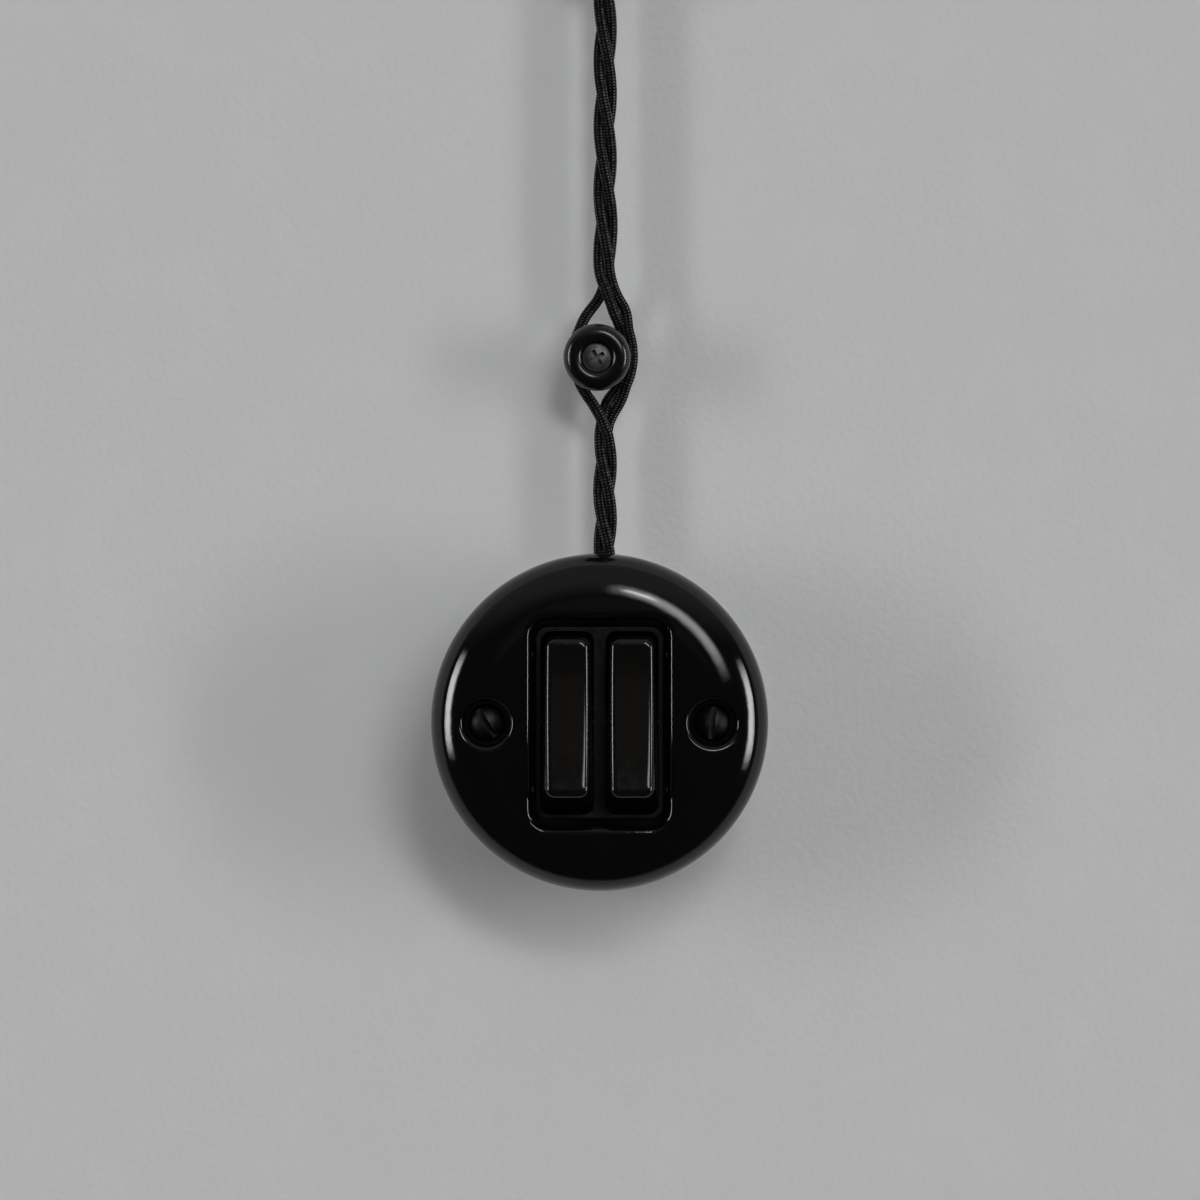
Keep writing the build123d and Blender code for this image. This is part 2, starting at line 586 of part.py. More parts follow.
# Rocking contact with a button at each end and cheeks that keep it on its fulcrum
contact_w = PLATE_W + 2 * (CHEEK_GAP + CHEEK_T)
contact_l = 2 * (CONTACT_Y + CONTACT_END)
contact = slab(0, 0, contact_w, contact_l, CONTACT_CORNER_R, 0, CONTACT_T)
for end in (-1, 1):
    contact += rod(0, end * CONTACT_Y, -BUTTON_H, 0, BUTTON_R)
contact += box(PLATE_W / 2 + CHEEK_GAP, contact_w / 2, -CHEEK_L / 2, CHEEK_L / 2, -CHEEK_H, 0)
contact += box(-contact_w / 2, -PLATE_W / 2 - CHEEK_GAP, -CHEEK_L / 2, CHEEK_L / 2, -CHEEK_H, 0)
for side, name in ((-1, "up"), (1, "down")):
    tilted = Pos(side * rocker_x, 0, pivot_z) * Rot(-ROCK_TILT, 0, 0)
    save("rocker_" + name, tilted * rocker)
    save("plunger_" + name, tilted * plunger)
    save("plunger_spring_" + name, tilted * spring)
    save("contact_" + name, Pos(side * rocker_x, 0, contact_pivot_z) * Rot(CONTACT_TILT, 0, 0) * contact)

# Contact plates on the floor of the housing
fulcrum_top = contact_pivot_z - FULCRUM_GAP
fulcrum_foot = [(-FULCRUM_FOOT, plate_top), (FULCRUM_FOOT, plate_top)]
fulcrum_line = fulcrum_foot + [(FULCRUM_EDGE, fulcrum_top), (-FULCRUM_EDGE, fulcrum_top)]
fulcrum = extrude(make_face(Plane.YZ * Polyline(*fulcrum_line, close=True)), PLATE_W / 2, both=True)
for side, name in ((-1, "up"), (1, "down")):
    plate_x0 = side * rocker_x - PLATE_W / 2
    plate = box(plate_x0, plate_x0 + PLATE_W, CONTACT_Y - PLATE_HALF_L, block_y0, housing_floor, plate_top)
    save("plate_" + name, plate + rod(side * rocker_x, CONTACT_Y, plate_top, rest_pad_z, BUTTON_R))
plate_in_x = mid_x + PLATE_WALL_GAP
line_plate = box(PLATE_GAP - pad_x0, -plate_in_x, -FULCRUM_HALF_Y, block_y0, housing_floor, plate_top)
line_plate += box(-pad_x1, -plate_in_x, -FULCRUM_HALF_Y, FULCRUM_HALF_Y, housing_floor, plate_top)
save("plate_line", line_plate + Pos(-rocker_x, 0, 0) * fulcrum)
link_x = pad_x0 - LINK_PAD_GAP
link_plate = box(-pad_x1, link_x, link_y0, link_y1, housing_floor, plate_top)
link_plate += box(plate_in_x, link_x, link_y0, FULCRUM_HALF_Y, housing_floor, plate_top)
link_plate += box(plate_in_x, pad_x1, -FULCRUM_HALF_Y, FULCRUM_HALF_Y, housing_floor, plate_top)
link_plate += rod(-rocker_x, -CONTACT_Y, plate_top, rest_pad_z, BUTTON_R)
save("plate_link", link_plate + Pos(rocker_x, 0, 0) * fulcrum)

# Terminal blocks and their screws
block_top = pocket_z + BLOCK_H
block_y = (block_y0 + cave_top) / 2
blocks = []
term_screws = []
for side in (-1, 0, 1):
    x = side * BLOCK_X
    block = box(x - BLOCK_W / 2, x + BLOCK_W / 2, block_y0, cave_top, pocket_z, block_top)
    block -= up_rod(x, block_y0, cave_top, wire_z, WIRE_HOLE_R)
    blocks.append(block - rod(x, block_y, wire_z, block_top, TERM_SHANK_R))
    screw = screw_head(TERM_HEAD_R, TERM_HEAD_H, TERM_HEAD_EDGE, TERM_SLOT_W, TERM_SLOT_D)
    screw += rod(0, 0, -TERM_SHANK_L, 0, TERM_SHANK_R)
    term_screws.append(Pos(x, block_y, block_top) * Rot(0, 0, side * TERM_SLOT_TURN) * screw)
save("terminal_blocks", Compound(blocks))
save("terminal_screws", Compound(term_screws))

# Cord: leads inside, a plain run up to the knob, three strands round the knob and a run into the bush
for side, name in ((-1, "up"), (0, "line"), (1, "down")):
    lead_x = CORD_X + side * LEAD_STEP
    block_x = side * BLOCK_X
    lead_route = [
        (lead_x, CORD_END_Y, CORD_Z),
        (lead_x, LEAD_LOW_Y, CORD_Z),
        (block_x, LEAD_HIGH_Y, wire_z),
        (block_x, cave_top, wire_z),
    ]
    save("lead_" + name, tube(lead_route, LEAD_BEND_R, LEAD_R))
split_low = KNOB_Y - SPLIT_HALF
split_high = KNOB_Y + SPLIT_HALF
save("cord_lower", up_rod(CORD_X, CORD_END_Y, split_low, CORD_Z, CORD_R))
strand_in = KNOB_NECK_R + STRAND_R + STRAND_GAP
strand_out = strand_in + 2 * STRAND_R + STRAND_SPREAD
strands = (
    ("left", LEFT_ANGLE, -strand_in),
    ("inner", INNER_ANGLE, strand_in),
    ("outer", OUTER_ANGLE, strand_out),
)
for name, angle, offset in strands:
    x = CORD_X + STRAND_RING_R * math.cos(math.radians(angle))
    z = CORD_Z + STRAND_RING_R * math.sin(math.radians(angle))
    strand_route = [
        (x, split_low, z),
        (x, split_low + SPLIT_STRAIGHT, z),
        (KNOB_X + offset, KNOB_Y - SPLIT_STRAIGHT, CORD_Z),
        (KNOB_X + offset, KNOB_Y + SPLIT_STRAIGHT, CORD_Z),
        (x, split_high - SPLIT_STRAIGHT, z),
        (x, split_high, z),
    ]
    save("strand_" + name, tube(strand_route, SPLIT_BEND_R, STRAND_R))
end_route = [(CORD_X, split_high, CORD_Z), (CORD_X, BUSH_Y, CORD_Z), (CORD_X, BUSH_Y, 0)]
save("cord_upper", tube(end_route, BUSH_BEND_R, CORD_R))
print("cord bends", LEAD_BEND_R, SPLIT_BEND_R, BUSH_BEND_R)

# Knob insulator: a foot, a neck for the strands and a dished head, with its countersunk wood screw
head_arc = KNOB_HEAD_R - KNOB_CREST_R
head_arc_z = KNOB_CREST_Z - head_arc
head_half = on_arc((KNOB_CREST_R, head_arc_z), head_arc, math.pi / 4)
dish_turn = math.asin((KNOB_DISH_R - KNOB_CREST_R) / KNOB_DISH_ARC_R)
dish_c = (KNOB_CREST_R, KNOB_CREST_Z - KNOB_DISH_ARC_R)
dish_half = on_arc(dish_c, KNOB_DISH_ARC_R, dish_turn / 2)
dish_edge = on_arc(dish_c, KNOB_DISH_ARC_R, dish_turn)
sink_low_z = KNOB_DISH_Z - KNOB_DISH_R + KNOB_BORE_R
outer_line = [
    (KNOB_BORE_R, 0),
    (KNOB_FOOT_R, 0),
    (KNOB_FOOT_R, KNOB_FOOT_Z),
    (KNOB_NECK_R, KNOB_NECK_Z0),
    (KNOB_NECK_R, KNOB_NECK_Z1),
    (KNOB_HEAD_R, KNOB_LIP_Z),
    (KNOB_HEAD_R, head_arc_z),
]
bore_line = [dish_edge, (KNOB_DISH_R, KNOB_DISH_Z), (KNOB_BORE_R, sink_low_z), (KNOB_BORE_R, 0)]
crest = (KNOB_CREST_R, KNOB_CREST_Z)
knob_edges = FilletPolyline(*outer_line, radius=KNOB_EDGE_R).edges()
knob_edges += ThreePointArc((KNOB_HEAD_R, head_arc_z), head_half, crest).edges()
knob_edges += ThreePointArc(crest, dish_half, dish_edge).edges()
knob_edges += Polyline(*bore_line).edges()
save("knob_insulator", Pos(KNOB_X, KNOB_Y, 0) * spin(knob_edges))
rim_z = KNOB_DISH_Z - KNOB_DISH_R + KNOB_SCREW_R
rim_top = rim_z + KNOB_SCREW_RIM
shank_top = rim_z - KNOB_SCREW_R + KNOB_SHANK_R
dome_top = rim_top + KNOB_SCREW_DOME
shank_line = [
    (KNOB_SCREW_R, rim_top),
    (KNOB_SCREW_R, rim_z),
    (KNOB_SHANK_R, shank_top),
    (KNOB_SHANK_R, KNOB_TIP_L - KNOB_SHANK_IN_WALL),
    (0, -KNOB_SHANK_IN_WALL),
    (0, dome_top),
]
knob_screw = spin(dome(KNOB_SCREW_R, rim_top, KNOB_SCREW_DOME) + Polyline(*shank_line).edges())
cross = box(-CROSS_L / 2, CROSS_L / 2, -CROSS_W / 2, CROSS_W / 2, dome_top - CROSS_D, dome_top)
knob_screw -= Rot(0, 0, CROSS_TURN) * (cross + Rot(0, 0, 90) * cross)
save("knob_screw", Pos(KNOB_X, KNOB_Y, 0) * knob_screw)

# Wall entry bush: the cord goes in from below and turns into the wall inside it
bush = rod(0, 0, 0, BUSH_H, BUSH_R)
bush = fillet(bush.edges().group_by(Axis.Z)[-1], BUSH_EDGE_R)
bush = fillet(bush.edges().group_by(Axis.Z)[0], EDGE_R)
bush -= rod(0, 0, 0, BUSH_H - BUSH_ROOF, BUSH_BORE_R)
bush -= up_rod(0, -BUSH_R, 0, CORD_Z, CORD_R + BUSH_CORD_GAP)
save("end_bush", Pos(CORD_X, BUSH_Y, 0) * bush)
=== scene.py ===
import math

import bpy
import numpy as np
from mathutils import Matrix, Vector


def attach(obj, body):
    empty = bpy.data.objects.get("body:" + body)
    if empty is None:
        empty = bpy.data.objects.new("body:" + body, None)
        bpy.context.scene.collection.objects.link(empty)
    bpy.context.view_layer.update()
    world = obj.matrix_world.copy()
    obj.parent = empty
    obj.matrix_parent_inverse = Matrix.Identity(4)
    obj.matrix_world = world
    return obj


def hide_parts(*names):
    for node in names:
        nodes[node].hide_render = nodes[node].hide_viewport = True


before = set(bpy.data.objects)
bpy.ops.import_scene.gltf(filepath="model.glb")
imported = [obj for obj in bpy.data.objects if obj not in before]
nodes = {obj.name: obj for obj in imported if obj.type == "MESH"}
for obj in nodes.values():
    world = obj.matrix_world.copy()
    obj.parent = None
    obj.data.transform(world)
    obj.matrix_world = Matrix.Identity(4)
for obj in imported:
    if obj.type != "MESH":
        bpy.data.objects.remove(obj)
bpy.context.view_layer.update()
scene = bpy.context.scene
scene.view_settings.view_transform = "Standard"

# Camera: straight on to the wall and centred on the picture, as in the photograph
CAMERA_ELEVATION = math.radians(0.5)
CAMERA_DISTANCE = 2.2
CAMERA_TARGET = Vector((0.0001, 0.0, 0.0324))
CAMERA_LENS = 244.5
SENSOR_WIDTH = 36.0
CLIP_START = 0.01

# Places of the screws, in metres
COVER_SCREW_X = 0.030
COVER_SCREW_Z = 0.0
KNOB_X = -0.0007
KNOB_Z = 0.0976

# Cord: three braided strands twisted together, in metres
STRAND_R = 0.00150
STRAND_STEP = 0.00013
STRAND_SIDES = 48
TWIST_R = 0.00168
TWIST_PITCH_HIGH = 0.052
TWIST_PITCH_LOW = 0.044
TWIST_END = 0.0190
PARTED = 0.0065
GATHERED = 0.0132
BRAID_YARNS = 8
BRAID_CELL = 0.00078
BRAID_RELIEF = 0.00011
BRAID_WAVE = 0.00005
YARN_FILL = 0.96
# Yarns from one painted highlight line to the next
YARNS_PER_HIGHLIGHT_LINE = 4
ROUTE_RESOLUTION = 200
ROUTE_ORDER = 3

# Route of each strand from the switch to the wall entry bush, and its angle round the cord above and below
# the knob, in degrees
STRANDS = {
    "left": {
        "route": [
            (0.0015, -0.0070, 0.0362), (0.0015, -0.0070, 0.0730), (0.0015, -0.0070, 0.0796),
            (-0.0069, -0.0070, 0.0924), (-0.0071, -0.0070, 0.1043), (0.0029, -0.0070, 0.1152),
            (0.0015, -0.0070, 0.1270), (0.0015, -0.0070, 0.2050), (0.0015, -0.0070, 0.2120),
            (0.0015, 0.0000, 0.2120),
        ],
        "high": 240.0,
        "low": 80.0,
    },
    "inner": {
        "route": [
            (0.0015, -0.0070, 0.0362), (0.0015, -0.0070, 0.0730), (0.0020, -0.0070, 0.0816),
            (0.0061, -0.0064, 0.0920), (0.0061, -0.0064, 0.1054), (0.0038, -0.0070, 0.1126),
            (0.0013, -0.0070, 0.1190), (0.0015, -0.0070, 0.1270), (0.0015, -0.0070, 0.2050),
            (0.0015, -0.0070, 0.2120), (0.0015, 0.0000, 0.2120),
        ],
        "high": 120.0,
        "low": 200.0,
    },
    "outer": {
        "route": [
            (0.0015, -0.0070, 0.0362), (0.0015, -0.0070, 0.0730), (0.0004, -0.0070, 0.0808),
            (0.00885, -0.0076, 0.0918), (0.00885, -0.0076, 0.1044), (0.0009, -0.0070, 0.1168),
            (0.0015, -0.0070, 0.1270), (0.0015, -0.0070, 0.2050), (0.0015, -0.0070, 0.2120),
            (0.0015, 0.0000, 0.2120),
        ],
        "high": 0.0,
        "low": 320.0,
    },
}

# Colours of the glaze, the clay under it, the rockers and the cloth, with a painted highlight colour for the
# yarn crowns
GLAZE_BLACK = (0.0018, 0.0018, 0.0019)
GLAZE_WORN = (0.0050, 0.0042, 0.0036)
CLAY_DARK = (0.36, 0.33, 0.29)
CLAY_LIGHT = (0.50, 0.47, 0.42)
ROCKER_DARK = (0.0024, 0.0021, 0.0018)
ROCKER_LIGHT = (0.0040, 0.0035, 0.0029)
YARN_BLACK = (0.0026, 0.0025, 0.0024)
# Painted highlight colour on the yarn crowns, where the cloth itself is black
YARN_PAINTED_HIGHLIGHT = (0.370, 0.355, 0.335)
SHEEN_TINT = (0.55, 0.53, 0.50, 1.0)
WHITE = (1.0, 1.0, 1.0, 1.0)

# Faces within this depth of the wall that look at it are left as bare clay, which is rougher
BARE_DEPTH = (-0.0020, -0.0016)
BARE_FACING = (0.80, 0.92)
BARE_ROUGH = 0.85

# Turning rings on a screw head, in radians a metre
TURNING_RINGS = 26000.0

# Fibres across a yarn and how far they wander, in radians
FIBRE_TURN = 44.0
FIBRE_WANDER = 6.0

# Painted highlights, as light flecks on the yarn crowns: their share on both families of yarns, what one
# family adds, and how the painted highlight lines vary them
PAINTED_FLECK_BOTH = 0.05
PAINTED_FLECK_LEFT = 0.92
HIGHLIGHT_LINE_MEAN = 0.75
HIGHLIGHT_LINE_SWING = 0.45

# Wall: a plain pale sheet just behind the switch
WALL_HALF = 3.0
WALL_Y = 0.0004
WALL_DARK = (0.74, 0.74, 0.74)
WALL_LIGHT = (0.80, 0.80, 0.80)
WALL_LIFT = 0.06

# Room: a dim front with a warm band and a cool ceiling, and pale sides
FRONT_COLOUR = (0.040, 0.040, 0.040)
SIDE_COLOUR = (0.32, 0.32, 0.32)
SIDE_FADE = (0.00, 0.13)
WARM_COLOUR = (0.064, 0.054, 0.041)
WARM_LOW = (0.08, 0.14)
WARM_HIGH = (0.34, 0.46)
WARM_LEFT = (-0.40, -0.15)
WARM_RIGHT = (0.15, 0.40)
CEILING_COLOUR = (0.21, 0.22, 0.235)
CEILING_RISE = (0.38, 0.80)
# Just over 1, so that nothing is divided by zero straight ahead
OVER_ONE = 1.0001

# Soft lights, each a feathered piece of a ring about the viewing line: its turn from the right in degrees,
# where the ring rises and falls, where its ends fade, and its colour
SOFT_LIGHTS = (
    (52.0, (0.690, 0.795), (0.810, 0.905), (0.80, 0.98), (6.6, 6.7, 6.8)),
    (72.0, (0.783, 0.806), (0.812, 0.835), (0.985, 0.999), (12.0, 12.0, 12.0)),
    (174.0, (0.330, 0.388), (0.428, 0.490), (0.925, 0.995), (13.5, 13.5, 13.5)),
    (2.0, (0.330, 0.388), (0.428, 0.490), (0.925, 0.995), (13.5, 13.5, 13.5)),
)

# Lamp behind the wall, for the views of the back
REAR_AZIMUTH = math.radians(160.0)
REAR_ELEVATION = math.radians(25.0)
REAR_TARGET = Vector((0.0, 0.0, 0.03))
REAR_DISTANCE = 1.6
REAR_SIZE = 1.6
REAR_POWER = 30.0

# Sockets of a mix node that is set to colours
MIX_SHARE = 0
MIX_FIRST = 6
MIX_SECOND = 7
MIX_RESULT = 2


def link(obj):
    scene.collection.objects.link(obj)
    return obj


def make_camera():
    data = bpy.data.cameras.new("camera")
    data.sensor_width = SENSOR_WIDTH
    data.lens = CAMERA_LENS
    data.clip_start = CLIP_START
    camera = link(bpy.data.objects.new("camera", data))
    back = Vector((0.0, -math.cos(CAMERA_ELEVATION), math.sin(CAMERA_ELEVATION)))
    camera.location = CAMERA_TARGET + back * CAMERA_DISTANCE
    camera.rotation_mode = "QUATERNION"
    camera.rotation_quaternion = (-back).to_track_quat("-Z", "Y")
    scene.camera = camera


class Graph:
    """A node tree, and the few node shapes that the looks and the room are made of."""

    def __init__(self, tree):
        self.tree = tree

    def node(self, kind, **settings):
        made = self.tree.nodes.new(kind)
        for key, value in settings.items():
            setattr(made, key, value)
        return made

    def feed(self, socket, value):
        if isinstance(value, bpy.types.NodeSocket):
            self.tree.links.new(value, socket)
        else:
            socket.default_value = value

    def math(self, operation, a, b=0.0, clamp=False):
        made = self.node("ShaderNodeMath", operation=operation, use_clamp=clamp)
        self.feed(made.inputs[0], a)
        self.feed(made.inputs[1], b)
        return made.outputs[0]

    def times(self, a, b):
        return self.math("MULTIPLY", a, b)

    def plus(self, a, b, clamp=False):
        return self.math("ADD", a, b, clamp)

    def ramp(self, value, low, high, to_low=0.0, to_high=1.0):
        made = self.node("ShaderNodeMapRange", interpolation_type="SMOOTHSTEP")
        self.feed(made.inputs["Value"], value)
        for key, number in (("From Min", low), ("From Max", high), ("To Min", to_low), ("To Max", to_high)):
            made.inputs[key].default_value = number
        return made.outputs[0]

    def band(self, value, rise, fall):
        return self.times(self.ramp(value, *rise), self.math("SUBTRACT", 1.0, self.ramp(value, *fall)))

    def mix(self, share, a, b, blend="MIX"):
        made = self.node("ShaderNodeMix", data_type="RGBA", blend_type=blend)
        self.feed(made.inputs[MIX_SHARE], share)
        self.feed(made.inputs[MIX_FIRST], (*a, 1.0) if isinstance(a, tuple) else a)
        self.feed(made.inputs[MIX_SECOND], (*b, 1.0) if isinstance(b, tuple) else b)
        return made.outputs[MIX_RESULT]

    def axes(self, place):
        made = self.node("ShaderNodeSeparateXYZ")
        self.feed(made.inputs[0], place)
        return made.outputs


class Look(Graph):
    """One procedural material."""

    def __init__(self, name, **constants):
        self.material = bpy.data.materials.new(name)
        self.material.use_nodes = True
        super().__init__(self.material.node_tree)
        self.bsdf = self.tree.nodes["Principled BSDF"]
        self.place = self.node("ShaderNodeTexCoord").outputs["Object"]
        self.set(**constants)

    def set(self, **values):
        for key, value in values.items():
            self.feed(self.bsdf.inputs[key.replace("_", " ")], value)

    def noise(self, scale, detail=2.0, rough=0.5, place=None):
        made = self.node("ShaderNodeTexNoise")
        self.feed(made.inputs["Vector"], place or self.place)
        for key, value in (("Scale", scale), ("Detail", detail), ("Roughness", rough)):
            made.inputs[key].default_value = value
        return made.outputs[0]

    def bump(self, height, distance, strength, normal=None):
        made = self.node("ShaderNodeBump")
        made.inputs["Distance"].default_value = distance
        made.inputs["Strength"].default_value = strength
        self.feed(made.inputs["Height"], height)
        if normal is not None:
            self.feed(made.inputs["Normal"], normal)
        return made.outputs[0]

    def stretched(self, scale):
        made = self.node("ShaderNodeMapping")
        self.feed(made.inputs["Vector"], self.place)
        made.inputs["Scale"].default_value = scale
        return made.outputs[0]

    def geometry(self, name):
        return self.node("ShaderNodeNewGeometry").outputs[name]

    def edges(self, low, high):
        return self.ramp(self.geometry("Pointiness"), low, high)


def route_points(name, control):
    data = bpy.data.curves.new(name, "CURVE")
    data.dimensions = "3D"
    data.resolution_u = ROUTE_RESOLUTION
    spline = data.splines.new("NURBS")
    spline.points.add(len(control) - 1)
    for point, place in zip(spline.points, control):
        point.co = (*place, 1.0)
    spline.order_u = ROUTE_ORDER
    spline.use_endpoint_u = True
    curve = link(bpy.data.objects.new(name, data))
    bpy.context.view_layer.update()
    mesh = bpy.data.meshes.new_from_object(curve.evaluated_get(bpy.context.evaluated_depsgraph_get()))
    points = np.array([v.co for v in mesh.vertices], float)
    bpy.data.objects.remove(curve)
    bpy.data.meshes.remove(mesh)
    return points


def evenly(points, step):
    along = np.concatenate([[0.0], np.cumsum(np.linalg.norm(np.diff(points, axis=0), axis=1))])
    count = int(round(along[-1] / step)) + 1
    wanted = np.linspace(0.0, along[-1], count)
    return wanted, np.stack([np.interp(wanted, along, points[:, k]) for k in range(3)], axis=1)


def unit(vectors):
    return vectors / np.linalg.norm(vectors, axis=1, keepdims=True)


def smooth(value):
    value = np.clip(value, 0.0, 1.0)
    return value * value * (3.0 - 2.0 * value)


def twisted_path(strand):
    """The middle of one strand: its route, wound round the cord's middle except where it passes the knob."""
    along, centre = evenly(route_points("strand_route", strand["route"]), STRAND_STEP)
    tangent = unit(np.gradient(centre, axis=0))
    side = np.tile([1.0, 0.0, 0.0], (len(centre), 1))
    side = unit(side - np.sum(side * tangent, axis=1, keepdims=True) * tangent)
    back = np.cross(tangent, side)
    from_knob = centre[:, 2] - KNOB_Z
    above = np.maximum(along - along[np.argmax(from_knob > TWIST_END)], 0.0)
    below = np.maximum(along[np.argmax(from_knob > -TWIST_END)] - along, 0.0)
    turn_high = math.radians(strand["high"]) + 2.0 * math.pi * above / TWIST_PITCH_HIGH
    turn_low = math.radians(strand["low"]) - 2.0 * math.pi * below / TWIST_PITCH_LOW
    turn = np.where(from_knob > 0.0, turn_high, turn_low)
    near = smooth((np.abs(from_knob) - PARTED) / (GATHERED - PARTED))
    off = (TWIST_R * near)[:, None] * (np.cos(turn)[:, None] * side - np.sin(turn)[:, None] * back)
    return evenly(centre + off, STRAND_STEP)[1]


def carried_frames(path):
    tangent = unit(np.gradient(path, axis=0))
    side = np.array([1.0, 0.0, 0.0])
    sides = []
    for direction in tangent:
        side = side - direction * np.dot(side, direction)
        side = side / np.linalg.norm(side)
        sides.append(side)
    sides = np.array(sides)
    return sides, np.cross(tangent, sides)


def yarn_crown(across):
    return np.sqrt(np.clip(1.0 - (2.0 * (across - np.round(across)) / YARN_FILL) ** 2, 0.0, 1.0))


def braid_height(around, along):
    """Height of the braid, which of its two families is on top, and the yarn number in each family."""
    a = around * BRAID_YARNS - along / BRAID_CELL
    b = around * BRAID_YARNS + along / BRAID_CELL
    left = BRAID_RELIEF * yarn_crown(a) + BRAID_WAVE * np.cos(np.pi * (b - np.round(a)))
    right = BRAID_RELIEF * yarn_crown(b) - BRAID_WAVE * np.cos(np.pi * (a - np.round(b)))
    return np.maximum(left, right), (left > right).astype(float), a, b


def braided_strand(name, strand):
    path = twisted_path(strand)
    sides, backs = carried_frames(path)
    rings = len(path)
    around = np.arange(STRAND_SIDES) / STRAND_SIDES
    along = np.arange(rings) * STRAND_STEP
    ring_u, ring_v = np.meshgrid(around, along)
    height, family, a, b = braid_height(ring_u, ring_v)
    radius = STRAND_R - BRAID_RELIEF - BRAID_WAVE + height
    angle = ring_u * 2.0 * math.pi
    spread = np.cos(angle)[..., None] * sides[:, None, :] + np.sin(angle)[..., None] * backs[:, None, :]
    points = (path[:, None, :] + radius[..., None] * spread).reshape(-1, 3)
    index = np.arange(rings * STRAND_SIDES).reshape(rings, STRAND_SIDES)
    after = np.roll(index, -1, axis=1)
    quads = np.stack([index[:-1], after[:-1], after[1:], index[1:]], axis=-1).reshape(-1, 4)
    faces = quads.tolist()
    faces.append(index[0][::-1].tolist())
    faces.append(index[-1].tolist())
    mesh = bpy.data.meshes.new(name)
    mesh.from_pydata(points.tolist(), [], faces)
    mesh.polygons.foreach_set("use_smooth", [True] * len(faces))
    marks = {"yarn_a": a, "yarn_b": b, "yarn_left": family, "yarn_high": height / height.max()}
    for key, values in marks.items():
        mark = mesh.attributes.new(key, "FLOAT", "POINT")
        mark.data.foreach_set("value", values.ravel().astype(np.float32))
    mesh.update()
    return link(bpy.data.objects.new(name, mesh)), path


def glaze(name, rough, ripple=0.35, ior=1.46):
    """Black glaze over a pale clay body that is left bare on the face against the wall."""
    look = Look(name, IOR=ior)
    worn = look.edges(0.53, 0.62)
    smears = look.noise(scale=60.0, detail=4.0, rough=0.6, place=look.stretched((1.0, 1.0, 0.45)))
    faces_wall = look.ramp(look.axes(look.geometry("Normal"))[1], *BARE_FACING)
    bare = look.times(faces_wall, look.ramp(look.axes(look.place)[1], *BARE_DEPTH))
    clay = look.mix(look.noise(scale=220.0, detail=5.0, rough=0.65), CLAY_DARK, CLAY_LIGHT)
    look.set(Base_Color=look.mix(bare, look.mix(worn, GLAZE_BLACK, GLAZE_WORN), clay))
    gloss = look.ramp(smears, 0.35, 0.75, *rough)
    look.set(Roughness=look.math("MAXIMUM", gloss, look.times(bare, BARE_ROUGH)))
    grain = look.times(look.noise(scale=1800.0, detail=4.0, rough=0.6), bare)
    normal = look.bump(look.noise(scale=170.0, rough=0.45), distance=0.00012, strength=ripple)
    normal = look.bump(look.noise(scale=900.0), distance=0.000006, strength=0.5, normal=normal)
    look.set(Normal=look.bump(grain, distance=0.00008, strength=0.5, normal=normal))
    return look.material


def gloss_plastic():
    look = Look("rocker_gloss", IOR=1.50)
    cloud = look.noise(scale=90.0, detail=3.0, rough=0.6)
    scratch = look.noise(scale=2600.0, place=look.stretched((1.0, 1.0, 0.06)))
    look.set(Base_Color=look.mix(cloud, ROCKER_DARK, ROCKER_LIGHT))
    look.set(Roughness=look.ramp(look.noise(scale=240.0, detail=4.0, rough=0.65), 0.3, 0.8, 0.09, 0.17))
    normal = look.bump(look.noise(scale=220.0, detail=1.0, rough=0.4), distance=0.00003, strength=0.5)
    look.set(Normal=look.bump(scratch, distance=0.000003, strength=0.4, normal=normal))
    return look.material


def matte_plastic(name, dark, light, rough=(0.42, 0.6), grain=3000.0, bump=0.6):
    look = Look(name, IOR=1.5)
    look.set(Base_Color=look.mix(look.noise(scale=260.0, detail=4.0, rough=0.6), dark, light))
    look.set(Roughness=look.ramp(look.noise(scale=700.0, detail=3.0, rough=0.6), 0.3, 0.7, *rough))
    look.set(Normal=look.bump(look.noise(scale=grain, rough=0.6), distance=0.00002, strength=bump))
    return look.material


def metal(name, dark, light, rough=(0.28, 0.45)):
    look = Look(name, Metallic=1.0)
    streak = look.noise(scale=420.0, detail=4.0, rough=0.6, place=look.stretched((1.0, 1.0, 14.0)))
    stain = look.noise(scale=150.0, detail=3.0, rough=0.6)
    worn = look.edges(0.52, 0.58)
    look.set(Base_Color=look.mix(look.times(stain, look.plus(worn, 0.6)), dark, light))
    look.set(Roughness=look.ramp(streak, 0.3, 0.7, *rough))
    look.set(Normal=look.bump(streak, distance=0.000006, strength=0.6))
    return look.material


def turned_metal(name, centre_x, centre_z, mirrored, dark, light, rough):
    """Metal with turning rings round a screw's middle, or round both of a pair."""
    look = Look(name, Metallic=1.0)
    place_x, _, place_z = look.axes(look.place)
    if mirrored:
        place_x = look.math("ABSOLUTE", place_x)
    x = look.math("SUBTRACT", place_x, centre_x)
    z = look.math("SUBTRACT", place_z, centre_z)
    radius = look.math("SQRT", look.plus(look.times(x, x), look.times(z, z)))
    rings = look.math("SINE", look.times(radius, TURNING_RINGS))
    grime = look.noise(scale=500.0, detail=4.0, rough=0.65)
    worn = look.edges(0.51, 0.57)
    look.set(Base_Color=look.mix(look.plus(look.times(grime, 0.6), look.times(worn, 0.7), True), dark, light))
    look.set(Roughness=look.ramp(look.noise(scale=900.0, detail=3.0, rough=0.6), 0.3, 0.7, *rough))
    normal = look.bump(rings, distance=0.000004, strength=0.5)
    pits = look.noise(scale=2200.0, detail=3.0, rough=0.6)
    look.set(Normal=look.bump(pits, distance=0.00001, strength=0.5, normal=normal))
    return look.material


